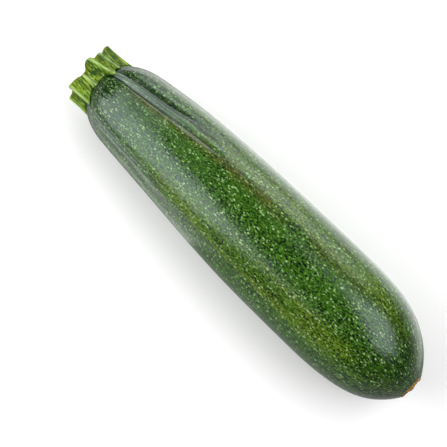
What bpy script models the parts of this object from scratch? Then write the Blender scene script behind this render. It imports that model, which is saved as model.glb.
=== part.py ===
"""A courgette as picked, lying on its belly: the fruit, its cut stem and the corky scar of its flower.

Metres, +Z up. The fruit lies along X, with the stem at -X and the flower's scar at +X. The origin is
under the middle of the whole, on the surface that the fruit lies on.
"""

from math import atan2, cos, degrees, exp, pi, radians, sin, sqrt

import bmesh
import bpy
from mathutils import Vector

MM = 0.001

# Driving dimensions, in millimetres. A station is a distance along the fruit from the foot of its
# stem, positive towards the flower's scar, and a radius is measured from the fruit's own axis.
FRUIT_LENGTH = 180.6
STEM_LENGTH = 14.7
WIDEST_RADIUS = 25.5
WIDEST_STATION = 109.0
TAPER_LENGTH = 100.0
TAPER = 6.0
TAPER_FULLNESS = 1.8

# The shoulder closes towards the stem, and the blossom end closes towards the scar.
SHOULDER_START = 18.3
SHOULDER_LENGTH = 26.0
SHOULDER_CAP = -3.5
BLOSSOM_LENGTH = 73.0
BLOSSOM_FULLNESS = 4.6
BLOSSOM_POINT = 1.3

# The fruit bends a little sideways, and its belly curves up from the place that it rests on.
SIDE_BEND = ((-12.0, -1.6), (42.0, -0.3), (86.0, -0.5), (150.0, 0.3), (180.0, -0.9))
REST_STATION = 94.0
BELLY_CURVE = 0.0002
BELLY_FLAT_DEPTH = 0.3

# Ribs run on from the ridges of the stem. Each has its angle near the stem and its angle further along,
# from straight up and turning towards +Y, and a strength. The rise is a share of the radius.
RIBS = (
    (40.0, 36.0, 1.0),
    (95.0, 103.0, 0.9),
    (152.0, 160.0, 1.0),
    (223.0, 231.0, 0.9),
    (267.0, 275.0, 0.35),
    (311.0, 319.0, 1.0),
)
RIB_TURN = ((20.0, 0.0), (90.0, 1.0))
RIB_WIDTH = 20.0
RIB_RISE = ((10.0, 0.025), (40.0, 0.018), (90.0, 0.0145), (150.0, 0.0075), (179.0, 0.0))

# A furrow runs between the ribs near the stem. Each is given as the ribs are, with depths in millimetres.
FURROWS = (
    (12.5, 24.0, 1.0),
    (82.0, 90.0, 0.8),
    (139.0, 145.0, 0.7),
    (211.0, 216.0, 0.9),
    (256.0, 262.0, 0.4),
    (306.0, 309.0, 0.9),
)
FURROW_TURN = ((6.0, 0.0), (85.0, 1.0))
FURROW_WIDTH = 4.0
FURROW_DEPTH = ((-4.0, 0.3), (8.0, 0.6), (40.0, 0.45), (75.0, 0.0))

# The stem's ridges: angle at the foot, angle at the cut end, how far it stands out of the core at the
# foot and at the cut end, its half width in degrees, and the height that it is cut off at.
STEM_CORE = 11.4
STEM_RIDGES = (
    (82.0, 72.0, 2.8, 2.0, 16.0, 15.2),
    (38.0, 29.0, 2.0, 1.9, 8.0, 13.0),
    (18.0, 2.0, 3.0, 3.1, 9.0, 13.8),
    (-22.0, -26.0, 0.9, 1.0, 8.0, 10.6),
    (-54.0, -57.0, 3.6, 3.8, 13.0, 11.8),
    (-92.0, -93.0, 3.6, 3.6, 14.0, 9.8),
    (-134.0, -130.0, 3.3, 3.2, 15.0, 10.8),
    (184.0, 182.0, 1.6, 1.5, 10.0, 11.6),
    (152.0, 147.0, 3.5, 3.0, 14.0, 13.0),
    (117.0, 108.0, 1.8, 1.6, 9.0, 12.4),
)
STEM_CORE_HEIGHT = 11.2
STEM_CORE_PULL = 0.15
STEM_WAIST = 0.3
STEM_SEAT_RADIUS = 10.2
STEM_GAP = 0.3

# The scar is a corky button, sunk in the tip of the fruit.
SCAR_RADIUS = 5.9
SCAR_RECESS_DEPTH = 1.2
SCAR_GAP = 0.3
SCAR_SEAT_STATION = 179.3

# How finely the solids are divided.
AROUND = 90
SCAR_AROUND = 28
SHOULDER_RINGS = 10
FLANK_RINGS = 11
BLOSSOM_RINGS = 15
STEM_RINGS = 6
STEM_CAP_RINGS = 3
STEM_FOOT_RINGS = (1.0, 0.85, 0.7, 0.5, 0.0)
SCAR_DOME_RINGS = (0.93, 0.78, 0.5, 0.0)

MIDDLE_STATION = (FRUIT_LENGTH - STEM_LENGTH) / 2

# Finishes: colour, roughness and metallic value.
SKIN_GREEN = (0.045, 0.110, 0.016, 1.0), 0.35, 0.0
STEM_GREEN = (0.170, 0.260, 0.022, 1.0), 0.55, 0.0
CORK_BROWN = (0.300, 0.150, 0.045, 1.0), 0.80, 0.0


def clear_scene():
    for thing in list(bpy.data.objects):
        bpy.data.objects.remove(thing, do_unlink=True)


def finish(name, look):
    colour, roughness, metallic = look
    material = bpy.data.materials.new(name)
    material.use_nodes = True
    shader = material.node_tree.nodes["Principled BSDF"]
    shader.inputs["Base Color"].default_value = colour
    shader.inputs["Roughness"].default_value = roughness
    shader.inputs["Metallic"].default_value = metallic
    material.diffuse_color = colour
    return material


def eased(points, station):
    """The value at a station of a line that eases from one (station, value) point to the next."""
    if station <= points[0][0]:
        return points[0][1]
    for (low, before), (high, after) in zip(points, points[1:]):
        if station <= high:
            share = (station - low) / (high - low)
            return before + (after - before) * share * share * (3 - 2 * share)
    return points[-1][1]


def turn_between(angle, other):
    """The signed difference of two angles, in degrees, from -180 to 180."""
    return (angle - other + 180.0) % 360.0 - 180.0


def bump(distance, width):
    """A bell curve: 1 at no distance, and about a third at its width."""
    return exp(-((distance / width) ** 2))


def flank_radius(station):
    """The fruit's radius with its ends left off: widest near the blossom, slimmer towards the stem."""
    short_of_widest = max(0.0, WIDEST_STATION - station) / TAPER_LENGTH
    return WIDEST_RADIUS - TAPER * short_of_widest**TAPER_FULLNESS


def fruit_radius(station):
    shoulder = max(0.0, SHOULDER_START - station) / SHOULDER_LENGTH
    blossom = max(0.0, station - WIDEST_STATION) / BLOSSOM_LENGTH
    closing = sqrt(1 - shoulder**3) * (1 - blossom**BLOSSOM_FULLNESS) ** (1 / BLOSSOM_POINT)
    return flank_radius(station) * closing


def ribbed_radius(station, radius, angle):
    """A radius of the fruit with its ribs raised and the furrows beside them sunk in."""
    rib_turned = eased(RIB_TURN, station)
    furrow_turned = eased(FURROW_TURN, station)
    rib = 0.0
    furrow = 0.0
    for near_stem, further, strength in RIBS:
        beside = turn_between(angle, near_stem + (further - near_stem) * rib_turned)
        rib += strength * (bump(beside, RIB_WIDTH) - 0.5)
    for near_stem, further, strength in FURROWS:
        beside = turn_between(angle, near_stem + (further - near_stem) * furrow_turned)
        furrow += strength * bump(beside, FURROW_WIDTH)
    furrow_depth = eased(FURROW_DEPTH, station) * radius / max(flank_radius(station), radius)
    return radius * (1 + eased(RIB_RISE, station) * rib) - furrow_depth * furrow


def axis_place(station):
    """Where the fruit's own axis is at a station, in millimetres: high enough for the belly's curve."""
    belly = BELLY_CURVE * (station - REST_STATION) ** 2 - BELLY_FLAT_DEPTH
    height = belly + ribbed_radius(station, flank_radius(station), 180.0)
    return Vector((station - MIDDLE_STATION, eased(SIDE_BEND, station), height))


def place(station, radius, angle):
    """The point at a station, a radius and an angle in degrees, in metres."""
    turned = radians(angle)
    return (axis_place(station) + Vector((0, radius * sin(turned), radius * cos(turned)))) * MM


def turned_blank(profile, around):
    """A profile of (along, radius) points, spun about X into a closed blank with its poles merged."""
    blank = bmesh.new()
    line = [blank.verts.new((along, 0, radius)) for along, radius in profile]
    edges = [blank.edges.new(pair) for pair in zip(line, line[1:])]
    bmesh.ops.spin(
        blank, geom=line + edges, cent=(0, 0, 0), axis=(1, 0, 0), angle=2 * pi, steps=around, use_merge=True
    )
    bmesh.ops.remove_doubles(blank, verts=blank.verts, dist=1e-5)
    return blank


def angle_of(point):
    """The angle of a blank's point about X, in degrees from straight up, turning towards +Y."""
    return degrees(atan2(point.y, point.z))


def finished_object(name, blank, material):
    """The blank as an object: in triangles, with its normals out and its round faces shaded smooth."""
    blank.normal_update()
    bmesh.ops.recalc_face_normals(blank, faces=blank.faces)
    bmesh.ops.triangulate(blank, faces=blank.faces)
    mesh = bpy.data.meshes.new(name)
    blank.to_mesh(mesh)
    blank.free()
    mesh.materials.append(material)
    mesh.shade_smooth()
    mesh.set_sharp_from_angle(angle=radians(35))
    made = bpy.data.objects.new(name, mesh)
    bpy.context.scene.collection.objects.link(made)
    return made


def fruit_profile():
    """From the middle of the cap under the stem, along the fruit, to the middle of the scar's recess."""
    shoulder_span = SHOULDER_START - SHOULDER_CAP
    blossom_span = SCAR_SEAT_STATION - WIDEST_STATION
    flank_span = WIDEST_STATION - SHOULDER_START
    stations = [SHOULDER_CAP + shoulder_span * (k / SHOULDER_RINGS) ** 1.5 for k in range(SHOULDER_RINGS)]
    stations += [SHOULDER_START + flank_span * k / FLANK_RINGS for k in range(FLANK_RINGS)]
    for k in range(BLOSSOM_RINGS + 1):
        stations.append(WIDEST_STATION + blossom_span * sin(pi / 2 * k / BLOSSOM_RINGS))
    profile = [(SHOULDER_CAP, 0.0)]
    profile += [(station, fruit_radius(station)) for station in stations]
    recess_floor = SCAR_SEAT_STATION - SCAR_RECESS_DEPTH
    profile += [(recess_floor, SCAR_RADIUS + SCAR_GAP), (recess_floor, 0.0)]
    return profile


def build_fruit(material):
    """The whole skin-covered body, with its ribs, its flat spot and the recess for the flower's scar."""
    blank = turned_blank(fruit_profile(), AROUND)
    for vertex in blank.verts:
        station = vertex.co.x
        radius = Vector((vertex.co.y, vertex.co.z)).length
        angle = angle_of(vertex.co)
        vertex.co = place(station, ribbed_radius(station, radius, angle), angle)
    flatten_belly(blank)
    return finished_object("fruit", blank, material)


def flatten_belly(blank):
    """Cuts the lowest part of the belly off level, which leaves the small flat that the fruit lies on."""
    everything = [*blank.verts, *blank.edges, *blank.faces]
    cut = bmesh.ops.bisect_plane(
        blank, geom=everything, dist=1e-7, plane_co=(0, 0, 0), plane_no=(0, 0, 1), clear_inner=True
    )
    rim = [piece for piece in cut["geom_cut"] if isinstance(piece, bmesh.types.BMEdge)]
    bmesh.ops.contextual_create(blank, geom=rim)


def stem_height(angle):
    """The height at which the stem's wall is cut off at an angle: each ridge has its own."""
    weight = STEM_CORE_PULL
    height = weight * STEM_CORE_HEIGHT
    for _, cut_angle, _, _, half_width, cut_height in STEM_RIDGES:
        pull = bump(turn_between(angle, cut_angle), half_width)
        weight += pull
        height += pull * cut_height
    return height / weight


def stem_radius(angle, share):
    """The stem's radius at an angle, with share 0 at its foot and 1 at its cut end."""
    radius = STEM_CORE - STEM_WAIST * sin(pi * share)
    for foot_angle, cut_angle, foot_out, cut_out, half_width, _ in STEM_RIDGES:
        crest = foot_angle + turn_between(cut_angle, foot_angle) * share
        stands_out = foot_out + (cut_out - foot_out) * share
        radius += stands_out * bump(turn_between(angle, crest), half_width)
    return radius


def shoulder_station(radius, angle):
    """The station at which the fruit's shoulder has this radius, found by halving the stretch."""
    low, high = SHOULDER_CAP, SHOULDER_START
    if ribbed_radius(low, fruit_radius(low), angle) > radius:
        return low
    for _ in range(30):
        middle = (low + high) / 2
        if ribbed_radius(middle, fruit_radius(middle), angle) > radius:
            high = middle
        else:
            low = middle
    return high


def foot_radius(across, outer):
    """The radius of a point of the stem's foot: its inner half lies on the flat seat of the shoulder."""
    if across < 0.5:
        return STEM_SEAT_RADIUS * across * 2
    return STEM_SEAT_RADIUS + (outer - STEM_SEAT_RADIUS) * (across * 2 - 1)


def build_stem(material):
    """A drum of radius 1 and height 1, cut end first, whose wall, cut end and foot are then shaped. The
    foot follows the shoulder of the fruit."""
    profile = [(1.0, k / STEM_CAP_RINGS) for k in range(STEM_CAP_RINGS + 1)]
    profile += [(1 - k / STEM_RINGS, 1.0) for k in range(1, STEM_RINGS)]
    profile += [(0.0, ring) for ring in STEM_FOOT_RINGS]
    blank = turned_blank(profile, AROUND)
    for vertex in blank.verts:
        share = vertex.co.x
        across = Vector((vertex.co.y, vertex.co.z)).length
        angle = angle_of(vertex.co)
        radius = across * stem_radius(angle, share)
        if share < 1e-6:
            radius = foot_radius(across, radius)
        foot = STEM_GAP - shoulder_station(radius - STEM_GAP, angle)
        top = STEM_CORE_HEIGHT + (stem_height(angle) - STEM_CORE_HEIGHT) * across**2
        vertex.co = place(-(foot + (top - foot) * share), radius, angle)
    return finished_object("stem", blank, material)


def build_scar(material):
    """A low button, domed on its outer side, that lies in the recess in the fruit's tip."""
    seat = SCAR_SEAT_STATION - SCAR_RECESS_DEPTH + SCAR_GAP
    bulge = FRUIT_LENGTH - SCAR_SEAT_STATION
    profile = [(seat, 0.0), (seat, SCAR_RADIUS), (SCAR_SEAT_STATION, SCAR_RADIUS)]
    for share in SCAR_DOME_RINGS:
        profile.append((SCAR_SEAT_STATION + bulge * sqrt(1 - share**2), SCAR_RADIUS * share))
    blank = turned_blank(profile, SCAR_AROUND)
    for vertex in blank.verts:
        radius = Vector((vertex.co.y, vertex.co.z)).length
        vertex.co = place(vertex.co.x, radius, angle_of(vertex.co))
    return finished_object("blossom_scar", blank, material)


def main():
    clear_scene()
    build_fruit(finish("skin", SKIN_GREEN))
    build_stem(finish("stem", STEM_GREEN))
    build_scar(finish("cork", CORK_BROWN))


main()
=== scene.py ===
# %% [markdown]
# # A courgette, lying on its belly
#
# A courgette is three things grown together: the fruit in its waxy green skin, the ridged stub of its
# stalk, and the dry corky scar that the flower leaves at the other end. The imported solids already have
# their sizes and places. This lesson replaces each of them with a finer piece and gives it a finish.
# The first cell loads the solids.

# %% The frame
from functools import lru_cache
from math import atan2, cos, degrees, exp, pi, radians, sin, sqrt

import bmesh
import bpy
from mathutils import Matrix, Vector, noise


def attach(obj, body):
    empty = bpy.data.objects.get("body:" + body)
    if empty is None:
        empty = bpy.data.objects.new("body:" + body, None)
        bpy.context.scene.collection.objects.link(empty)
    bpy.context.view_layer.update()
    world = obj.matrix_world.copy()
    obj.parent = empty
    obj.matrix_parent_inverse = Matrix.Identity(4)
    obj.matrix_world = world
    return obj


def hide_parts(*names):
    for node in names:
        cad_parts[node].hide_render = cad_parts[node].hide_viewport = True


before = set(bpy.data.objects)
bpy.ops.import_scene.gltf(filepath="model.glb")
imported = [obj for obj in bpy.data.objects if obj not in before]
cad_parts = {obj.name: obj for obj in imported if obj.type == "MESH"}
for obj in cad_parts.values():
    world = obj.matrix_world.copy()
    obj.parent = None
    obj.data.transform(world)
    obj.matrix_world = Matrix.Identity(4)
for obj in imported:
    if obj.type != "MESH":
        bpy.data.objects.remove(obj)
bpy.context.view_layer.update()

# %% [markdown]
# ## How a courgette is described
#
# Every point of the courgette is given by three numbers. Its station is how far along the fruit it is, in
# millimetres from the foot of the stem. Its radius is how far it is from the fruit's own axis, and its
# angle is how far it is turned from straight up. The numbers below are those of the solids, so that the
# fine pieces lie where the solids are. Only the furrows differ: they fade out sooner here and the one on
# the near side is weaker, because finer creases take their place.

# %% Sizes that the solids have too
MM = 0.001
FRUIT_LENGTH = 180.6
STEM_LENGTH = 14.7
WIDEST_RADIUS = 25.5
WIDEST_STATION = 109.0
TAPER_LENGTH = 100.0
TAPER = 6.0
TAPER_FULLNESS = 1.8
SHOULDER_START = 18.3
SHOULDER_LENGTH = 26.0
SHOULDER_CAP = -3.5
BLOSSOM_LENGTH = 73.0
BLOSSOM_FULLNESS = 4.6
BLOSSOM_POINT = 1.3
# A list of (station, value) points stands for a value that changes along the fruit. eased() joins them.
SIDE_BEND = ((-12.0, -1.6), (42.0, -0.3), (86.0, -0.5), (150.0, 0.3), (180.0, -0.9))
REST_STATION = 94.0
BELLY_CURVE = 0.0002
BELLY_FLAT_DEPTH = 0.3
# A rib or a furrow is its angle near the stem, its angle further along, and its strength.
RIBS = (
    (40.0, 36.0, 1.0),
    (95.0, 103.0, 0.9),
    (152.0, 160.0, 1.0),
    (223.0, 231.0, 0.9),
    (267.0, 275.0, 0.35),
    (311.0, 319.0, 1.0),
)
RIB_TURN = ((20.0, 0.0), (90.0, 1.0))
RIB_WIDTH = 20.0
RIB_LEVEL = 0.5
RIB_RISE = ((10.0, 0.025), (40.0, 0.018), (90.0, 0.0145), (150.0, 0.0075), (179.0, 0.0))
FURROWS = (
    (12.5, 24.0, 1.0),
    (82.0, 90.0, 0.8),
    (139.0, 145.0, 0.7),
    (211.0, 216.0, 0.9),
    (256.0, 262.0, 0.4),
    (306.0, 309.0, 0.45),
)
FURROW_TURN = ((6.0, 0.0), (85.0, 1.0))
FURROW_WIDTH = 4.0
FURROW_DEPTH = ((-4.0, 0.3), (8.0, 0.6), (38.0, 0.42), (64.0, 0.0))
SCAR_RADIUS = 5.9
SCAR_RECESS_DEPTH = 1.2
SCAR_GAP = 0.3
SCAR_SEAT_STATION = 179.3
MIDDLE_STATION = (FRUIT_LENGTH - STEM_LENGTH) / 2


@lru_cache(maxsize=None)
def eased(points, station):
    """The value at a station of a line that eases from one (station, value) point to the next."""
    if station <= points[0][0]:
        return points[0][1]
    for (low, before), (high, after) in zip(points, points[1:]):
        if station <= high:
            share = (station - low) / (high - low)
            return before + (after - before) * share * share * (3 - 2 * share)
    return points[-1][1]


def turn_between(angle, other):
    """The signed difference of two angles, in degrees, from -180 to 180."""
    return (angle - other + 180.0) % 360.0 - 180.0


def line_angle(near_stem, further, turned):
    """The angle of a line that runs along the fruit and turns from one angle to another on its way."""
    return near_stem + (further - near_stem) * turned


def bump(distance, width):
    """A bell curve: 1 at no distance, and about a third at its width."""
    return exp(-((distance / width) ** 2))


@lru_cache(maxsize=None)
def flank_radius(station):
    """The fruit's radius without its rounded shoulder and its blossom end."""
    short_of_widest = max(0.0, WIDEST_STATION - station) / TAPER_LENGTH
    return WIDEST_RADIUS - TAPER * short_of_widest**TAPER_FULLNESS


def fruit_radius(station):
    """The flank closed by both ends, still without ribs."""
    shoulder = max(0.0, SHOULDER_START - station) / SHOULDER_LENGTH
    blossom = max(0.0, station - WIDEST_STATION) / BLOSSOM_LENGTH
    closing = sqrt(1 - shoulder**3) * (1 - blossom**BLOSSOM_FULLNESS) ** (1 / BLOSSOM_POINT)
    return flank_radius(station) * closing


def rib_lines(station, angle):
    """How strongly the ribs lift the skin at an angle, and how strongly the furrows beside them sink it."""
    rib_turned = eased(RIB_TURN, station)
    furrow_turned = eased(FURROW_TURN, station)
    rib = 0.0
    furrow = 0.0
    for near_stem, further, strength in RIBS:
        beside = turn_between(angle, line_angle(near_stem, further, rib_turned))
        rib += strength * (bump(beside, RIB_WIDTH) - RIB_LEVEL)
    for near_stem, further, strength in FURROWS:
        beside = turn_between(angle, line_angle(near_stem, further, furrow_turned))
        furrow += strength * bump(beside, FURROW_WIDTH)
    return rib, furrow


def ribbed_radius(station, radius, angle):
    """A radius with the ribs raised out of it and the furrows cut into it."""
    rib, furrow = rib_lines(station, angle)
    furrow_depth = eased(FURROW_DEPTH, station) * radius / max(flank_radius(station), radius)
    return radius * (1 + eased(RIB_RISE, station) * rib) - furrow_depth * furrow


@lru_cache(maxsize=None)
def axis_place(station):
    """Where the fruit's axis runs, in millimetres. Its height lets the belly touch the ground."""
    belly = BELLY_CURVE * (station - REST_STATION) ** 2 - BELLY_FLAT_DEPTH
    height = belly + ribbed_radius(station, flank_radius(station), 180.0)
    return Vector((station - MIDDLE_STATION, eased(SIDE_BEND, station), height))


def place(station, radius, angle):
    """The point at a station, a radius and an angle in degrees, in metres."""
    turned = radians(angle)
    return (axis_place(station) + Vector((0, radius * sin(turned), radius * cos(turned)))) * MM


print("shoulder", round(fruit_radius(0.0), 2), "mm, widest", round(fruit_radius(WIDEST_STATION), 2), "mm")

# %% [markdown]
# ## Rolled blanks
#
# Fruit, stem and scar are all roughly round about one axis. So each starts as a flat grid that is rolled
# into a tube, like a sheet of pastry: the grid's rows become rings, and each ring takes its station and its
# radius from a list, the profile. Rings of radius 0 close the ends, and merging the points that meet
# closes the seam. The even rings are easy to shape afterwards, because each point keeps its angle.

# %% A blank rolled from a grid
MERGE_DISTANCE = 1e-5


def rolled_blank(profile, around):
    """A closed blank about the X axis, from a profile of (along, radius) points."""
    rows = len(profile) - 1
    blank = bmesh.new()
    bmesh.ops.create_grid(blank, x_segments=rows, y_segments=around, size=0.5)
    for vertex in blank.verts:
        along, radius = profile[round((vertex.co.x + 0.5) * rows)]
        turned = 2 * pi * (vertex.co.y + 0.5)
        vertex.co = (along, radius * sin(turned), radius * cos(turned))
    bmesh.ops.remove_doubles(blank, verts=blank.verts, dist=MERGE_DISTANCE)
    return blank


def angle_of(point):
    return degrees(atan2(point.y, point.z))


def radius_of(point):
    return sqrt(point.y * point.y + point.z * point.z)


def finished_piece(name, blank, node, crisp=60):
    """Turns a blank into a piece that stands for a solid, and hides the solid."""
    blank.normal_update()
    bmesh.ops.recalc_face_normals(blank, faces=blank.faces)
    mesh = bpy.data.meshes.new(name)
    blank.to_mesh(mesh)
    blank.free()
    mesh.shade_smooth()
    mesh.set_sharp_from_angle(angle=radians(crisp))
    piece = bpy.data.objects.new(name, mesh)
    bpy.context.scene.collection.objects.link(piece)
    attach(piece, "root")
    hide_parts(node)
    print(name, len(mesh.polygons), "faces")
    return piece


test_roll = rolled_blank(((0.0, 0.0), (0.0, 1.0), (1.0, 1.0), (1.0, 0.0)), 12)
print("a rolled drum of 12 sides has", len(test_roll.faces), "faces")
test_roll.free()

# %% [markdown]
# ## The fruit's relief
#
# Close to the stem the skin is gathered. A thin crease runs beside each rib, with a raised edge and then a
# shallow hollow below it. They could be painted on as a bump, but the light has to catch them at a low
# angle, so they are made in the mesh. Each is a bell curve across a line that runs along the fruit.

# %% Creases beside the ribs
CREASE_WIDTH = 1.9
CREASE_DEPTH = ((-4.0, 0.3), (4.0, 0.65), (30.0, 0.5), (50.0, 0.12), (62.0, 0.0))
EDGE_BESIDE = 5.0
EDGE_WIDTH = 3.6
EDGE_RISE = ((-4.0, 0.35), (6.0, 0.6), (35.0, 0.45), (65.0, 0.0))
HOLLOW_BESIDE = ((12.0, 10.5), (28.0, 10.5), (44.0, 15.5))
HOLLOW_WIDTH = 6.5
HOLLOW_DEPTH = ((-4.0, 0.25), (10.0, 0.65), (26.0, 0.85), (42.0, 0.75), (72.0, 0.0))
WAVER = 1.3
WAVER_PACE = 0.12
LINE_REACH = 35.0


def wander(first, second, pattern):
    """Smooth noise from -1 to 1. The pattern's number keeps one use of it apart from the next."""
    return noise.noise(Vector((first, second, pattern)))


def crease_lines(station, angle):
    """How near an angle is to a crease, to the raised edge below it and to the hollow further down: 1 on
    the line itself. The creases waver a little. Down is the other way for angles past 180."""
    turned = eased(FURROW_TURN, station)
    waver = WAVER * wander(station * WAVER_PACE, 0.0, 17.0)
    crease = 0.0
    edge = 0.0
    hollow = 0.0
    for near_stem, further, strength in FURROWS:
        beside = turn_between(angle, line_angle(near_stem, further, turned)) - waver
        if near_stem > 180:
            beside = -beside
        if abs(beside) < LINE_REACH:
            crease += strength * bump(beside, CREASE_WIDTH)
            edge += strength * bump(beside - EDGE_BESIDE, EDGE_WIDTH)
            hollow += strength * bump(beside - eased(HOLLOW_BESIDE, station), HOLLOW_WIDTH)
    return crease, edge, hollow


top_angle = line_angle(*FURROWS[0][:2], eased(FURROW_TURN, 10.0))
print("on the top crease, 10 mm from the stem:", [round(x, 2) for x in crease_lines(10.0, top_angle)])

# %% [markdown]
# ## The gathered ends
#
# Where the skin is drawn in at the stem's seam, short fine creases start, no two of one length. At the
# scar it gathers again in short pleats. Both come from noise that changes fast round the fruit and hardly
# along it. Between the ends the skin is only a little uneven, which breaks up its reflections.

# %% Seam creases, pleats and unevenness
SEAM_CREASES = 46
SEAM_CREASE_DEPTH = 0.16
SEAM_CREASE_REACH = 17.0
SEAM_CREASE_SHARE = 0.35
PLEAT_START = 150.0
PLEAT_DEPTH = 0.26
PLEAT_STEEPNESS = 1.6
UNEVEN_SIZE = 26.0
UNEVEN_HEIGHT = 0.16
UNEVEN_FADE = 20.0


def seam_crease(station, angle):
    """Short creases of uneven length that start at the stem's seam, from 0 to 1."""
    reach = SEAM_CREASE_REACH * (0.55 + 0.9 * wander(angle * 0.09, 3.0, 0.0))
    fade = max(0.0, 1 - max(0.0, station) / max(reach, 2.0))
    wave = abs(wander(angle * SEAM_CREASES / 360.0, station * 0.02, 7.0))
    return fade * max(0.0, SEAM_CREASE_SHARE - wave) / SEAM_CREASE_SHARE


def pleat(station, angle):
    """Short pleats that gather towards the scar, from 0 up."""
    fade = max(0.0, (station - PLEAT_START) / (SCAR_SEAT_STATION - PLEAT_START)) ** PLEAT_STEEPNESS
    return fade * max(0.0, wander(angle * 0.1, station * 0.01, 21.0) + 0.2) * 1.4


def unevenness(station, angle):
    """Broad, low swellings, from -1 to 1, that fade out towards the scar."""
    turned = radians(angle)
    spot = Vector((station / UNEVEN_SIZE * 0.7, sin(turned) * 1.1, cos(turned) * 1.1 + 5.0))
    return noise.noise(spot) * min(1.0, max(0.0, SCAR_SEAT_STATION - station) / UNEVEN_FADE)


print("pleats at the scar reach", round(max(pleat(SCAR_SEAT_STATION, a) for a in range(360)), 2))

# %% [markdown]
# ## The fruit
#
# The profile runs from the cap under the stem to the recess of the scar, in rings about 0.7 mm apart. The
# rings lie closer where the ends close, because the outline turns fastest there.

# %% The fruit's profile
FRUIT_AROUND = 300
FRUIT_RINGS = 252
CAP_RADIUS = 8.0


def fruit_profile():
    shoulder_rings = FRUIT_RINGS // 6
    blossom_rings = FRUIT_RINGS // 3
    flank_rings = FRUIT_RINGS - shoulder_rings - blossom_rings
    shoulder_span = SHOULDER_START - SHOULDER_CAP
    flank_span = WIDEST_STATION - SHOULDER_START
    blossom_span = SCAR_SEAT_STATION - WIDEST_STATION
    stations = [SHOULDER_CAP + shoulder_span * (k / shoulder_rings) ** 1.5 for k in range(shoulder_rings)]
    stations += [SHOULDER_START + flank_span * k / flank_rings for k in range(flank_rings)]
    for k in range(blossom_rings + 1):
        stations.append(WIDEST_STATION + blossom_span * sin(pi / 2 * k / blossom_rings))
    recess_floor = SCAR_SEAT_STATION - SCAR_RECESS_DEPTH
    profile = [(SHOULDER_CAP, 0.0), (SHOULDER_CAP, CAP_RADIUS)]
    profile += [(station, fruit_radius(station)) for station in stations]
    return profile + [(recess_floor, SCAR_RADIUS + SCAR_GAP), (recess_floor, 0.0)]


print("rings in the profile:", len(fruit_profile()))

# %% [markdown]
# ## Shaping the fruit
#
# Each point of the rolled blank is moved by the ribs and by the relief. On its way it keeps what it has
# worked out as values of its own, such as how near a crease it lies, because the skin's finish needs them
# later. The bisect operator then cuts the belly level where the fruit lies, and one face closes the cut.

# %% The fruit's mesh
# Of these marks, edge later sets a painted highlight, and hollow, crease and pucker set painted shade.
FRUIT_MARKS = ("along", "rib", "crease", "edge", "hollow", "pucker", "rib_line")
ALL_RIBS = sum(strength for *_, strength in RIBS)
INSET = 0.07
FULL_EDGE = 0.6
HOLLOW_SHADE_PAINT = 1.4
RIB_LINE_WIDTH = 7.0
RIB_LINE_BELOW = 3.0


def top_line(station):
    """The angle of the top crease, which the russet line runs beside."""
    near_stem, further, _ = FURROWS[0]
    return line_angle(near_stem, further, eased(FURROW_TURN, station))


def flatten_belly(blank):
    everything = [*blank.verts, *blank.edges, *blank.faces]
    cut = bmesh.ops.bisect_plane(
        blank, geom=everything, dist=1e-7, plane_co=(0, 0, 0), plane_no=(0, 0, 1), clear_inner=True
    )
    rim = [part for part in cut["geom_cut"] if isinstance(part, bmesh.types.BMEdge)]
    bmesh.ops.contextual_create(blank, geom=rim)


def build_fruit():
    blank = rolled_blank(fruit_profile(), FRUIT_AROUND)
    marks = [blank.verts.layers.float.new(name) for name in FRUIT_MARKS]
    grown = blank.verts.layers.float_vector.new("grown")
    for vertex in blank.verts:
        station, radius, angle = vertex.co.x, radius_of(vertex.co), angle_of(vertex.co)
        crease, edge, hollow = crease_lines(station, angle)
        raised = eased(EDGE_RISE, station) * edge
        sunk = eased(CREASE_DEPTH, station) * crease
        dented = eased(HOLLOW_DEPTH, station) * hollow
        seam, pleated = seam_crease(station, angle), pleat(station, angle)
        relief = raised - sunk - SEAM_CREASE_DEPTH * seam - PLEAT_DEPTH * pleated - dented
        relief *= radius / max(flank_radius(station), radius)
        relief += UNEVEN_HEIGHT * unevenness(station, angle) - INSET
        values = (
            station / FRUIT_LENGTH,
            rib_lines(station, angle)[0] + ALL_RIBS * RIB_LEVEL,
            crease,
            raised / FULL_EDGE,
            HOLLOW_SHADE_PAINT * dented,
            seam + pleated,
            bump(turn_between(angle, top_line(station) - RIB_LINE_BELOW), RIB_LINE_WIDTH),
        )
        for mark, value in zip(marks, values):
            vertex[mark] = value
        wide = sqrt(max(radius, 1.0) * WIDEST_RADIUS)
        vertex[grown] = Vector((station, wide * sin(radians(angle)), wide * cos(radians(angle)))) * MM
        shaped = ribbed_radius(station, radius, angle) + relief * min(1, radius / CAP_RADIUS)
        vertex.co = place(station, shaped, angle)
    flatten_belly(blank)
    return finished_piece("fruit_skin", blank, "fruit")


fruit = build_fruit()

# %% [markdown]
# ## The stem
#
# The stem is a ridged stub, like a fluted column cut short. Its wall is a round core, narrower at its waist,
# and each ridge pushes the wall out where it runs. A list holds the ridges, because on the real one no two
# are alike: each has its own angles, widths and height, and the knife left the cut end in steps.

# %% The stem's ridges
STEM_CORE = 11.4
# A ridge is its angles at the foot and at the cut, how far it stands out there and there, its half width,
# and the height at which it was cut.
STEM_RIDGES = (
    (82.0, 72.0, 2.8, 2.0, 16.0, 15.2),
    (38.0, 29.0, 2.0, 1.9, 8.0, 13.0),
    (18.0, 2.0, 3.0, 3.1, 9.0, 13.8),
    (-22.0, -26.0, 0.9, 1.0, 8.0, 10.6),
    (-54.0, -57.0, 3.6, 3.8, 13.0, 11.8),
    (-92.0, -93.0, 3.6, 3.6, 14.0, 9.8),
    (-134.0, -130.0, 3.3, 3.2, 15.0, 10.8),
    (184.0, 182.0, 1.6, 1.5, 10.0, 11.6),
    (152.0, 147.0, 3.5, 3.0, 14.0, 13.0),
    (117.0, 108.0, 1.8, 1.6, 9.0, 12.4),
)
TALLEST_RIDGE = 3.8
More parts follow.
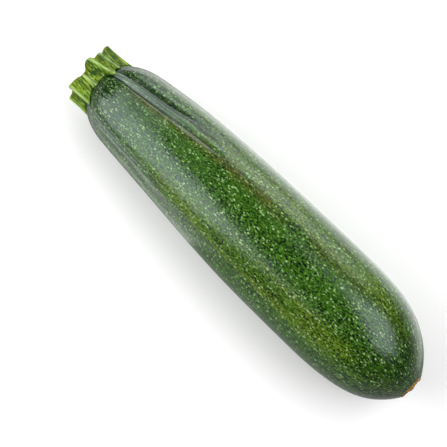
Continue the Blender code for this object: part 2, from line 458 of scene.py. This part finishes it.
# The core is cut 0.7 mm higher than the solid's, because the cut face sinks again.
STEM_CORE_HEIGHT = 11.9
STEM_CORE_PULL = 0.15
STEM_WAIST = 0.3
CREST_LINE_WIDTH = 2.6


def stem_height(angle):
    """The height of the cut at an angle: that of the nearest ridges, by how near they are."""
    weight = STEM_CORE_PULL
    height = weight * STEM_CORE_HEIGHT
    for _, cut_angle, _, _, half_width, cut_height in STEM_RIDGES:
        pull = bump(turn_between(angle, cut_angle), half_width)
        weight += pull
        height += pull * cut_height
    return height / weight


def ridge_rise(angle, share):
    """How far the ridges stand out of the core, in millimetres."""
    rise = 0.0
    for foot_angle, cut_angle, foot_out, cut_out, half_width, _ in STEM_RIDGES:
        crest = foot_angle + turn_between(cut_angle, foot_angle) * share
        rise += (foot_out + (cut_out - foot_out) * share) * bump(turn_between(angle, crest), half_width)
    return rise


def crest_line(angle, share):
    """1 on the line along the top of the nearest ridge, and less beside it."""
    lines = (foot + turn_between(cut, foot) * share for foot, cut, *_ in STEM_RIDGES)
    return max(bump(turn_between(angle, line), CREST_LINE_WIDTH) for line in lines)


def stem_radius(angle, share):
    return STEM_CORE - STEM_WAIST * sin(pi * share) + ridge_rise(angle, share)


print("the stem's foot is", round(2 * stem_radius(0.0, 0.0), 1), "mm across at its top ridge")

# %% [markdown]
# ## Where the stem meets the fruit
#
# The seam between the two is wavy, because the ridges reach out over the shoulder, which falls away there.
# So the foot isn't flat: for each point of it, halving a stretch of the shoulder again and again finds the
# station at which the fruit is just as wide.

# %% The stem's foot
STEM_SEAT_RADIUS = 10.2
STEM_GAP = 0.12
HALVINGS = 14


def shoulder_station(radius, angle):
    """The station at which the fruit's shoulder has this radius, found by halving the stretch."""
    low, high = SHOULDER_CAP, SHOULDER_START
    if ribbed_radius(low, fruit_radius(low), angle) > radius:
        return low
    for _ in range(HALVINGS):
        middle = (low + high) / 2
        if ribbed_radius(middle, fruit_radius(middle), angle) > radius:
            high = middle
        else:
            low = middle
    return high


def foot_height(radius, angle):
    """Where the stem's foot meets the shoulder: below 0, because the shoulder falls away outwards."""
    return STEM_GAP - shoulder_station(radius - STEM_GAP, angle)


@lru_cache(maxsize=None)
def wall_foot(angle):
    return foot_height(stem_radius(angle, 0.0), angle)


def foot_radius(across, outer):
    """The rings of the foot: half of them on the flat seat, half on the shoulder round it."""
    if across < 0.5:
        return STEM_SEAT_RADIUS * across * 2
    return STEM_SEAT_RADIUS + (outer - STEM_SEAT_RADIUS) * (across * 2 - 1)


print("the seam falls away by up to", round(-min(wall_foot(float(a)) for a in range(360)), 1), "mm")

# %% [markdown]
# ## Shaping the stem
#
# The stem starts as a rolled drum of radius 1 and height 1, so that each point says by itself what share of
# the height and of the radius it has. The wall gets fine fibres that run along it. The cut face sinks
# towards its pith, and the knife's edge is rounded a little.

# %% The stem's mesh
STEM_AROUND = 300
STEM_WALL_RINGS = 40
STEM_FACE_RINGS = 30
STEM_FOOT_RINGS = 14
STEM_MARKS = ("up", "crest", "cut", "across", "fibre", "crest_line")
FIBRE_HEIGHT = 0.2
EDGE_START = 0.94
EDGE_ROUNDING = 0.35
AT_CUT = 0.999
DISH_DEPTH = 0.9
PITH_DEPTH = 0.5
PITH_SIZE = 0.22
FACE_GRAIN = 0.14


def fibre(angle, share):
    """Fine lengthwise fibres: a wave across the wall that hardly changes along it, from about -1 to 1."""
    return wander(angle * 0.16, share * 0.7, 2.0) * 0.7 + wander(angle * 0.5, share * 1.6, 9.0) * 0.5


def face_height(point, angle, across):
    """The height of the cut face, which sinks towards its pith and is a little rough."""
    level = STEM_CORE_HEIGHT + (stem_height(angle) - STEM_CORE_HEIGHT) * across**2
    if point.x <= AT_CUT:
        return level
    dish = DISH_DEPTH * (1 - across**2) + PITH_DEPTH * bump(across, PITH_SIZE)
    rounding = EDGE_ROUNDING * 0.5 * bump(across - 1, 0.03)
    return level + FACE_GRAIN * wander(point.y * 6, point.z * 6, 4.0) - dish - rounding


def build_stem():
    profile = [(1.0, k / STEM_FACE_RINGS) for k in range(STEM_FACE_RINGS + 1)]
    profile += [(1 - k / STEM_WALL_RINGS, 1.0) for k in range(1, STEM_WALL_RINGS)]
    profile += [(0.0, 1 - k / STEM_FOOT_RINGS) for k in range(STEM_FOOT_RINGS + 1)]
    blank = rolled_blank(profile, STEM_AROUND)
    marks = [blank.verts.layers.float.new(name) for name in STEM_MARKS]
    for vertex in blank.verts:
        share, across, angle = vertex.co.x, radius_of(vertex.co), angle_of(vertex.co)
        on_face = share > AT_CUT and across < AT_CUT
        strand = fibre(angle, share)
        crest = ridge_rise(angle, share) / TALLEST_RIDGE
        values = (share, crest, float(on_face), across, strand, crest_line(angle, share))
        for mark, value in zip(marks, values):
            vertex[mark] = value
        near_cut = max(0.0, (share - EDGE_START) / (1 - EDGE_START))
        radius = stem_radius(angle, share) + FIBRE_HEIGHT * (strand - 0.5) - EDGE_ROUNDING * near_cut**2
        radius *= across
        foot = wall_foot(round(angle, 3))
        if share < 1e-6:
            radius = foot_radius(across, radius)
            foot = foot_height(radius, angle)
        top = face_height(vertex.co, angle, across)
        vertex.co = place(-(foot + (top - foot) * share), radius, angle)
    return finished_piece("stem_stub", blank, "stem", crisp=45)


stem = build_stem()

# %% [markdown]
# ## The flower's scar
#
# When the flower dries up it leaves a corky button in the tip of the fruit, cracked and a little domed,
# with a raised rim and the stump of the flower's style in its middle. It is rolled too, and noise then
# breaks up its surface.

# %% The scar's mesh
SCAR_AROUND = 120
SCAR_RINGS = 26
SCAR_CRACK = 0.16
# A ring of the scar is its height, its place as a share of the radius, and its width.
SCAR_FORMS = ((0.22, 0.86, 0.07), (-0.42, 0.5, 0.3), (0.3, 0.0, 0.13))


def build_scar():
    seat = SCAR_SEAT_STATION - SCAR_RECESS_DEPTH + SCAR_GAP
    bulge = FRUIT_LENGTH - SCAR_SEAT_STATION
    profile = [(seat, 0.0), (seat, SCAR_RADIUS), (SCAR_SEAT_STATION, SCAR_RADIUS)]
    for k in range(1, SCAR_RINGS + 1):
        share = cos(pi / 2 * k / SCAR_RINGS)
        profile.append((SCAR_SEAT_STATION + bulge * sqrt(1 - share**2), SCAR_RADIUS * share))
    blank = rolled_blank(profile, SCAR_AROUND)
    cork = blank.verts.layers.float.new("across")
    for vertex in blank.verts:
        station, radius, angle = vertex.co.x, radius_of(vertex.co), angle_of(vertex.co)
        across = radius / SCAR_RADIUS
        vertex[cork] = across
        if station > SCAR_SEAT_STATION:
            rough = wander(vertex.co.y * 0.9, vertex.co.z * 0.9, 1.0)
            rings = sum(height * bump(across - where, width) for height, where, width in SCAR_FORMS)
            station = min(FRUIT_LENGTH, station + rings + SCAR_CRACK * (rough - 0.6))
        vertex.co = place(station, radius, angle)
    return finished_piece("scar_cork", blank, "blossom_scar", crisp=70)


scar = build_scar()

# %% [markdown]
# ## Building finishes from nodes
#
# Every finish is worked out by nodes from the piece's own coordinates and from the values that the shaping
# left on its points. A few short helpers keep that readable: each adds a node, or a few, and hands back
# the result. Its inputs are numbers or the results of other nodes.

# %% Helpers for finishes
FAINTEST_SPECK = 0.35
SPECK_SOFTNESS = 0.12


def tint(red, green, blue):
    """A colour given as on a screen, from 0 to 255, turned into the linear values that nodes use."""
    return tuple(((value / 255 + 0.055) / 1.055) ** 2.4 for value in (red, green, blue)) + (1.0,)


class Finish:
    """A material and its nodes."""

    def __init__(self, name):
        self.material = bpy.data.materials.new(name)
        self.material.use_nodes = True
        self.tree = self.material.node_tree
        self.shader = self.tree.nodes["Principled BSDF"]
        self.place = self.add("ShaderNodeTexCoord").outputs["Object"]

    def add(self, kind, **settings):
        node = self.tree.nodes.new(kind)
        for name, value in settings.items():
            setattr(node, name, value)
        return node

    def put(self, socket, value):
        if isinstance(value, bpy.types.NodeSocket):
            self.tree.links.new(value, socket)
        else:
            socket.default_value = value

    def mark(self, name):
        """A value that the shaping left on the piece's points."""
        return self.add("ShaderNodeAttribute", attribute_name=name).outputs["Fac"]

    def product(self, *values, clamp=False):
        """The values multiplied, and kept from 0 to 1 where it is asked for."""
        result = values[0]
        for value in values[1:]:
            result = self.sums("MULTIPLY", result, value, clamp=clamp)
        return result

    def sums(self, operation, first, second=0.0, third=0.0, clamp=False):
        node = self.add("ShaderNodeMath", operation=operation, use_clamp=clamp)
        for socket, value in zip(node.inputs, (first, second, third)):
            self.put(socket, value)
        return node.outputs[0]

    def span(self, value, low, high, start=0.0, end=1.0):
        """A value mapped smoothly from low..high to start..end."""
        node = self.add("ShaderNodeMapRange", interpolation_type="SMOOTHSTEP")
        inputs = {"Value": value, "From Min": low, "From Max": high, "To Min": start, "To Max": end}
        for name, given in inputs.items():
            self.put(node.inputs[name], given)
        return node.outputs[0]

    def stretched(self, stretch):
        """The place, scaled: a pattern is drawn out along an axis whose scale is below 1."""
        node = self.add("ShaderNodeMapping")
        self.put(node.inputs["Vector"], self.place)
        node.inputs["Scale"].default_value = stretch
        return node.outputs[0]

    def cloud(self, size, detail=2.0, roughness=0.5, stretch=(1, 1, 1), tangle=0.0):
        """Soft noise whose patches are about this many millimetres across."""
        node = self.add("ShaderNodeTexNoise")
        self.put(node.inputs["Vector"], self.stretched(stretch))
        node.inputs["Scale"].default_value = 1000 / size
        node.inputs["Detail"].default_value = detail
        node.inputs["Roughness"].default_value = roughness
        node.inputs["Distortion"].default_value = tangle
        return node.outputs["Fac"]

    def specks(self, spacing, smallest, largest, share, stretch=(1, 1, 1), shift=0.0):
        """Round specks about this far apart, in millimetres, and of radii between these two. Only a share
        of them is kept, and some are fainter than others."""
        node = self.add("ShaderNodeTexVoronoi")
        moved = self.add("ShaderNodeVectorMath", operation="ADD")
        self.put(moved.inputs[0], self.stretched(stretch))
        moved.inputs[1].default_value = (shift, shift, shift)
        self.put(node.inputs["Vector"], moved.outputs[0])
        node.inputs["Scale"].default_value = 1000 / spacing
        cell = self.add("ShaderNodeSeparateColor")
        self.put(cell.inputs[0], node.outputs["Color"])
        spread = (largest - smallest) / spacing
        reach = self.sums("MULTIPLY_ADD", cell.outputs[1], spread, smallest / spacing)
        inside = self.sums("SUBTRACT", reach, node.outputs["Distance"])
        kept = self.sums("LESS_THAN", cell.outputs[0], share)
        strength = self.sums("MULTIPLY_ADD", cell.outputs[2], 1 - FAINTEST_SPECK, FAINTEST_SPECK)
        soft = SPECK_SOFTNESS / spacing
        speck = self.sums("MULTIPLY", self.span(inside, -soft, soft), kept)
        return self.sums("MULTIPLY", speck, strength)

    def blend(self, share, first, second):
        """Two colours mixed: the first where the share is 0, the second where it is 1."""
        node = self.add("ShaderNodeMix", data_type="RGBA")
        self.put(node.inputs[0], share)
        self.put(node.inputs[6], first)
        self.put(node.inputs[7], second)
        return node.outputs[2]

    def dent(self, height, depth, after=None):
        """Bump of this depth in millimetres, on top of an earlier one."""
        node = self.add("ShaderNodeBump")
        self.put(node.inputs["Height"], height)
        node.inputs["Distance"].default_value = depth * MM
        node.inputs["Strength"].default_value = 1.0
        if after is not None:
            self.put(node.inputs["Normal"], after)
        return node.outputs[0]

    def lay_on(self, piece, colour, roughness, normal):
        self.put(self.shader.inputs["Base Color"], colour)
        self.put(self.shader.inputs["Roughness"], roughness)
        self.put(self.shader.inputs["Normal"], normal)
        piece.data.materials.clear()
        piece.data.materials.append(self.material)
        print(self.material.name, len(self.tree.nodes), "nodes on", piece.name)


# %% [markdown]
# ## The skin's finish
#
# The skin is dark green, mottled with a lighter green at the size of a grain of sand. The pattern is worked
# out on the value "grown" that the shaping left on each point: the station, and the place round a fruit
# that is hardly narrower at its ends. Drawn on the skin, it then runs together towards both ends and is
# drawn out there, as it is on a skin that grew that way. First come the values that say where what lies.

# %% Where things lie on the skin
skin = Finish("courgette skin")
skin.place = skin.add("ShaderNodeAttribute", attribute_name="grown").outputs["Vector"]
along = skin.mark("along")
near_stem = skin.span(along, 0.02, 0.22, 1.0, 0.0)
near_scar = skin.span(along, 0.8, 0.96)
grain = skin.cloud(0.56, detail=1.0, roughness=0.8, stretch=(0.5, 1, 1))
patches = skin.cloud(9.0, detail=2.0, stretch=(0.45, 1, 1))
print("nodes that say where things lie:", len(skin.tree.nodes))

# %% [markdown]
# ## Mottling and streaks
#
# The mottling is fine noise between a deep and a leaf green. Along the ribs it turns to olive, in long
# streaks and mostly in its lighter grains. Near the stem the whole skin darkens.

# %% Greens of the skin
DEEP_GREEN = tint(1, 24, 0)
LEAF_GREEN = tint(62, 106, 18)
OLIVE = tint(104, 126, 22)
# A darker green for the skin near the stem, and for the painted shade in hollows, creases and puckers.
SHOULDER_AND_SHADE_GREEN = tint(5, 22, 4)

streaks = skin.cloud(5.0, detail=3.0, stretch=(0.08, 1, 1), tangle=0.4)
green = skin.blend(skin.span(grain, 0.43, 0.6), DEEP_GREEN, LEAF_GREEN)
olive_share = skin.product(
    skin.span(skin.mark("rib"), 0.3, 0.95),
    skin.span(streaks, 0.38, 0.6, 0.25, 0.8),
    skin.span(grain, 0.4, 0.58, 0.15, 1.0),
    skin.span(along, 0.1, 0.4),
    skin.span(along, 0.72, 0.92, 1.0, 0.35),
)
green = skin.blend(olive_share, green, OLIVE)
green = skin.blend(skin.span(patches, 0.4, 0.7, 0.0, 0.25), green, LEAF_GREEN)
green = skin.blend(skin.product(near_stem, 0.5), green, SHOULDER_AND_SHADE_GREEN)
print("nodes after the greens:", len(skin.tree.nodes))

# %% [markdown]
# ## Flecks and dots
#
# A courgette is strewn with pale flecks. A Voronoi texture gives each fleck a cell and a distance from its
# middle, which makes a round speck of any size. Small flecks lie everywhere, and long ones where the skin is
# drawn out at both ends. Dark streaks break the flecks up, most of all near the scar, and larger dots lie
# over everything.

# %% Pale flecks and dots
PALE_SPECK = tint(184, 204, 150)
FLECK = tint(164, 200, 132)

flecks = skin.specks(0.7, 0.06, 0.29, 0.58, stretch=(0.45, 1, 1))
green = skin.blend(flecks, green, FLECK)
long_flecks = skin.specks(1.0, 0.1, 0.32, 0.6, stretch=(0.22, 1, 1), shift=3.0)
drawn_out = skin.sums("MAXIMUM", near_stem, near_scar)
green = skin.blend(skin.product(long_flecks, skin.product(drawn_out, 0.7)), green, FLECK)
fine_streaks = skin.cloud(1.3, detail=2.0, stretch=(0.1, 1, 1))
streak_depth = skin.sums("MULTIPLY_ADD", near_scar, 0.5, 0.2)
streak_share = skin.product(skin.span(fine_streaks, 0.4, 0.58, 1.0, 0.0), streak_depth)
green = skin.blend(streak_share, green, DEEP_GREEN)
dots = skin.specks(1.7, 0.12, 0.35, 0.5, stretch=(0.8, 1, 1), shift=1.7)
green = skin.blend(skin.product(dots, skin.span(along, 0.04, 0.3, 0.3, 0.85)), green, PALE_SPECK)
print("nodes after the flecks:", len(skin.tree.nodes))

# %% [markdown]
# ## Russet, and painted highlight and shade by the creases
#
# A russet line has grown beside the top crease, where the skin was rubbed. The raised edges by the creases
# are painted paler, as wax bloom and a painted highlight. The hollows beside them, the creases and the
# puckers are painted darker, as painted shade.

# %% Russet, and painted highlight and shade of the relief
RUSSET = tint(84, 74, 20)
BLOOM_AND_HIGHLIGHT = tint(126, 152, 130)

russet_share = skin.product(
    skin.mark("rib_line"),
    skin.span(along, 0.02, 0.1, 0.0, 0.75),
    skin.span(patches, 0.4, 0.56),
    skin.span(grain, 0.4, 0.56, 0.1, 1.0),
    skin.span(along, 0.5, 0.75, 1.0, 0.3),
    clamp=True,
)
green = skin.blend(russet_share, green, RUSSET)
# Painted highlight, with some wax bloom: the raised edges by the creases are made paler.
green = skin.blend(skin.product(skin.mark("edge"), 0.4, clamp=True), green, BLOOM_AND_HIGHLIGHT)
# Painted shade in the hollows beside the creases.
green = skin.blend(skin.product(skin.mark("hollow"), 0.7, clamp=True), green, SHOULDER_AND_SHADE_GREEN)
# Painted shade in the creases, strongest near the stem.
crease_shade = skin.product(skin.mark("crease"), skin.span(along, 0.1, 0.4, 0.9, 0.0), clamp=True)
green = skin.blend(crease_shade, green, SHOULDER_AND_SHADE_GREEN)
# Painted shade in the short creases at the seam and the pleats at the scar.
green = skin.blend(skin.product(skin.mark("pucker"), 0.6, clamp=True), green, SHOULDER_AND_SHADE_GREEN)
print("nodes after the relief's marks:", len(skin.tree.nodes))

# %% [markdown]
# ## Wax
#
# The wax gives a soft, even gloss, so the roughness is low and hardly varies, and the fine bump is kept
# shallow. Its sheen is a little cooler than the light that it reflects.

# %% Gloss and fine bump
WAX_IOR = 1.47
WAX_TINT = (0.85, 0.99, 1.0, 1.0)

pebble = skin.cloud(1.0, detail=3.0, roughness=0.6)
swell = skin.cloud(4.0, detail=1.0, stretch=(0.5, 1, 1))
skin_normal = skin.dent(dots, 0.04, after=skin.dent(pebble, 0.1, after=skin.dent(swell, 0.1)))
skin.shader.inputs["IOR"].default_value = WAX_IOR
skin.shader.inputs["Specular Tint"].default_value = WAX_TINT
skin.lay_on(fruit, green, skin.span(grain, 0.3, 0.8, 0.16, 0.25), skin_normal)

# %% [markdown]
# ## The stem's finish
#
# The stem is yellow-green and fibrous. Its crests are dry and pale, its flutes are darker, and the corners
# at the cut have begun to turn brown. Towards its foot, where it meets the fruit, it is painted darker, as
# painted shade. The colours are laid one over another, each where a value that the shaping left on the
# points says so, or a noise, mostly one drawn out along the fibres.

# %% The stem's colours
stalk = Finish("courgette stem")
STALK_DARK_AND_SHADE = tint(30, 66, 0)
STALK_GREEN = tint(92, 130, 4)
STALK_YELLOW = tint(130, 146, 2)
STALK_PALE = tint(164, 196, 80)
STALK_DRY = tint(176, 202, 132)
STALK_BROWN = tint(120, 104, 40)

crest = stalk.mark("crest")
strands = stalk.mark("fibre")
up = stalk.mark("up")
fine_strands = stalk.cloud(0.8, detail=3.0, roughness=0.7, stretch=(0.1, 1, 1))
blotch = stalk.cloud(4.0, detail=3.0, roughness=0.6)
crumbs = stalk.cloud(0.6, detail=2.0, roughness=0.8, stretch=(0.5, 1, 1))
wall = stalk.blend(stalk.span(crest, 0.2, 0.95), STALK_DARK_AND_SHADE, STALK_GREEN)
wall = stalk.blend(stalk.span(blotch, 0.42, 0.62, 0.0, 0.6), wall, STALK_YELLOW)
wall = stalk.blend(stalk.span(crumbs, 0.42, 0.6, 0.55, 0.0), wall, STALK_DARK_AND_SHADE)
wall = stalk.blend(stalk.span(fine_strands, 0.5, 0.66, 0.0, 0.6), wall, STALK_PALE)
wall = stalk.blend(stalk.span(fine_strands, 0.34, 0.48, 0.8, 0.0), wall, STALK_DARK_AND_SHADE)
hairs = stalk.specks(0.9, 0.1, 0.3, 0.6, stretch=(0.4, 1, 1))
wall = stalk.blend(stalk.product(hairs, 0.7), wall, STALK_PALE)
wall = stalk.blend(stalk.span(strands, 0.15, 0.5, 0.0, 0.7), wall, STALK_PALE)
wall = stalk.blend(stalk.span(strands, -0.5, -0.15, 0.7, 0.0), wall, STALK_DARK_AND_SHADE)
dry_line = stalk.product(stalk.mark("crest_line"), stalk.span(blotch, 0.35, 0.6, 0.25, 0.85))
wall = stalk.blend(dry_line, wall, STALK_DRY)
browned = stalk.product(stalk.span(up, 0.86, 1.0), stalk.span(blotch, 0.46, 0.6), 0.7)
wall = stalk.blend(browned, wall, STALK_BROWN)
# Painted shade: the stem darkens towards its foot, where it meets the fruit.
wall = stalk.blend(stalk.span(up, 0.0, 0.09, 0.7, 0.0), wall, STALK_DARK_AND_SHADE)
print("nodes of the stem's wall:", len(stalk.tree.nodes))

# %% [markdown]
# ## The cut face
#
# The knife left a face of pale, wet flesh with a whitish pith and a greener rim. A value that the shaping
# left on the face's points switches from the wall's colours to these. The stem is duller than the fruit.

# %% The stem's cut face and its gloss
FLESH = tint(196, 206, 128)
PITH = tint(226, 228, 190)
STALK_SPECULAR = 0.15

across = stalk.mark("across")
face = stalk.blend(stalk.span(across, 0.15, 0.5), PITH, FLESH)
face = stalk.blend(stalk.span(across, 0.72, 0.98), face, STALK_GREEN)
stalk_colour = stalk.blend(stalk.mark("cut"), wall, face)
stalk_normal = stalk.dent(fine_strands, 0.3, after=stalk.dent(crumbs, 0.2, after=stalk.dent(blotch, 0.5)))
stalk.shader.inputs["Specular IOR Level"].default_value = STALK_SPECULAR
stalk.lay_on(stem, stalk_colour, stalk.span(blotch, 0.3, 0.7, 0.45, 0.6), stalk_normal)

# %% [markdown]
# ## The scar's finish
#
# Cork is dead, dry tissue: orange-brown where it is thin, paler on its crumbs, darker in its cracks and on
# the stump in its middle, and almost without gloss.

# %% The scar's colours
cork = Finish("courgette scar")
CORK_DARK = tint(80, 66, 26)
CORK_ORANGE = tint(200, 140, 56)
CORK_PALE = tint(222, 196, 140)
from_middle = cork.mark("across")
crumbs = cork.cloud(0.7, detail=3.0)
cork_colour = cork.blend(cork.span(crumbs, 0.35, 0.65), CORK_DARK, CORK_ORANGE)
cork_colour = cork.blend(cork.span(crumbs, 0.6, 0.8), cork_colour, CORK_PALE)
cork_colour = cork.blend(cork.span(from_middle, 0.35, 0.0), cork_colour, CORK_DARK)
cork.lay_on(scar, cork_colour, 0.8, cork.dent(crumbs, 0.25))

# %% [markdown]
# ## The floor
#
# A white floor beside a dark, glossy skin is hard to get right: the more light it throws back up, the
# greyer the fruit's lower edge turns. So the floor has two whites, and the Light Path node picks between
# them. The camera sees the brighter one, with a little glow, and the courgette gets the duller one.

# %% The floor
FLOOR_SIDE = 2.0
WHITE_SEEN = (0.85, 0.85, 0.85, 1.0)
WHITE_THROWN_BACK = (0.42, 0.42, 0.42, 1.0)
FLOOR_GLOW = 0.14


def build_floor():
    """A plain sheet with one white for the camera and one for everything else."""
    sheet = bmesh.new()
    bmesh.ops.create_grid(sheet, x_segments=1, y_segments=1, size=FLOOR_SIDE / 2)
    mesh = bpy.data.meshes.new("floor")
    sheet.to_mesh(mesh)
    sheet.free()
    floor = bpy.data.objects.new("floor", mesh)
    bpy.context.scene.collection.objects.link(floor)
    paint = Finish("floor white")
    seen = paint.add("ShaderNodeLightPath").outputs["Is Camera Ray"]
    white = paint.blend(seen, WHITE_THROWN_BACK, WHITE_SEEN)
    paint.put(paint.shader.inputs["Base Color"], white)
    paint.put(paint.shader.inputs["Emission Color"], white)
    paint.put(paint.shader.inputs["Emission Strength"], paint.sums("MULTIPLY", seen, FLOOR_GLOW))
    paint.shader.inputs["Roughness"].default_value = 0.9
    mesh.materials.append(paint.material)


build_floor()
print("floor:", FLOOR_SIDE, "m square")

# %% [markdown]
# ## The lights
#
# A glossy skin shows every lamp as a pale band, so each lamp is moved until its band lies where the photo
# has one. A strip stands low behind the fruit and draws the long band on its far flank. A big box in front,
# on the stem's side, makes the broad sheen there, a second hangs over the blossom end, and a small one
# stands beyond the stem. Two cards lie on the floor, one behind the fruit and one beside its shoulder. They
# face up and light the skin's edges from below, as white paper would.

# %% The lights
def soft_light(name, target, azimuth, elevation, distance, width, height, brightness):
    """A flat soft light that faces the target. Azimuth 0 is towards +X and 90 towards +Y. A lamp's power
    is its brightness times its area and pi."""
    turn, lift = radians(azimuth), radians(elevation)
    towards = Vector((cos(lift) * cos(turn), cos(lift) * sin(turn), sin(lift)))
    lamp = bpy.data.lights.new(name, "AREA")
    lamp.shape = "RECTANGLE"
    lamp.size, lamp.size_y = width, height
    lamp.energy = brightness * width * height * pi
    light = bpy.data.objects.new(name, lamp)
    bpy.context.scene.collection.objects.link(light)
    light.location = Vector(target) + towards * distance
    light.rotation_euler = towards.to_track_quat("Z", "Y").to_euler()
    light.visible_camera = False


MIDDLE = (0.0, 0.0, 0.025)
BEHIND = (0.005, 0.093, 0.1)
BESIDE_SHOULDER = (-0.075, -0.09, 0.1)
# A light is its name, target, azimuth, elevation, distance, width, height and brightness.
LIGHTS = (
    ("back strip", MIDDLE, 115, 17, 1.2, 0.88, 0.72, 3.4),
    ("front box", MIDDLE, -136, 31, 1.2, 1.0, 1.1, 4.8),
    ("end box", MIDDLE, 43, 57, 1.2, 1.15, 0.8, 4.1),
    ("stem box", MIDDLE, 172, 42, 1.2, 0.7, 0.5, 3.2),
    ("rim card", BEHIND, 0, -90, 0.098, 0.31, 0.12, 1.3),
    ("shoulder card", BESIDE_SHOULDER, 0, -90, 0.098, 0.12, 0.12, 0.9),
)
for settings in LIGHTS:
    soft_light(*settings)
print("lights:", len(LIGHTS))

# %% [markdown]
# ## The surroundings
#
# Behind everything is a pale surround. The camera sees it white. What the courgette reflects of it is grey
# near the horizon and dark overhead: a bright sky would lay a grey haze over the whole skin.

# %% The surroundings
HORIZON_GREY = 0.35
ZENITH_GREY = 0.08
HORIZON_BAND = 0.25


def build_world():
    """A white surround for the camera, and a grey one, darker overhead, for everything else."""
    world = bpy.data.worlds.new("studio")
    world.use_nodes = True
    tree = world.node_tree
    heading = tree.nodes.new("ShaderNodeTexCoord")
    split = tree.nodes.new("ShaderNodeSeparateXYZ")
    fade = tree.nodes.new("ShaderNodeMapRange")
    seen = tree.nodes.new("ShaderNodeLightPath")
    choice = tree.nodes.new("ShaderNodeMix")
    greys = {"From Min": 0.0, "From Max": HORIZON_BAND, "To Min": HORIZON_GREY, "To Max": ZENITH_GREY}
    for name, value in greys.items():
        fade.inputs[name].default_value = value
    choice.inputs["B"].default_value = 1.0
    tree.links.new(heading.outputs["Generated"], split.inputs[0])
    tree.links.new(split.outputs["Z"], fade.inputs["Value"])
    tree.links.new(seen.outputs["Is Camera Ray"], choice.inputs["Factor"])
    tree.links.new(fade.outputs[0], choice.inputs["A"])
    tree.links.new(choice.outputs[0], tree.nodes["Background"].inputs["Strength"])
    tree.nodes["Background"].inputs["Color"].default_value = (1.0, 1.0, 1.0, 1.0)
    bpy.context.scene.world = world


build_world()
print("surround: grey", HORIZON_GREY, "at the horizon and", ZENITH_GREY, "overhead")

# %% [markdown]
# ## The camera
#
# In the photo the fruit is seen from high above, turned so that it runs from the upper left to the lower
# right. A long lens keeps both ends at nearly the same scale. The "Standard" view keeps colours as mixed.

# %% The camera
CAMERA_ELEVATION = 77.0
CAMERA_HEADING = 46.1
CAMERA_DISTANCE = 0.6995
CAMERA_AIM = (-0.006, -0.00815, 0.025)
CAMERA_LENS = 135.0
CAMERA_NEAR = 0.01


def build_camera():
    lift, turn = radians(CAMERA_ELEVATION), radians(CAMERA_HEADING)
    towards = Vector((cos(lift) * sin(turn), -cos(lift) * cos(turn), sin(lift)))
    lens = bpy.data.cameras.new("camera")
    lens.lens = CAMERA_LENS
    lens.clip_start = CAMERA_NEAR
    camera = bpy.data.objects.new("camera", lens)
    bpy.context.scene.collection.objects.link(camera)
    camera.location = Vector(CAMERA_AIM) + towards * CAMERA_DISTANCE
    camera.rotation_euler = towards.to_track_quat("Z", "Y").to_euler()
    bpy.context.scene.camera = camera


build_camera()
bpy.context.scene.view_settings.view_transform = "Standard"
print("camera:", CAMERA_DISTANCE, "m away, looking down at", CAMERA_ELEVATION, "degrees")

# %% [markdown]
# ## Bringing the scene up to date
#
# The fine pieces must not make the courgette larger than its solids. The last step brings the scene up to
# date.

# %% Update the scene
bpy.context.view_layer.update()
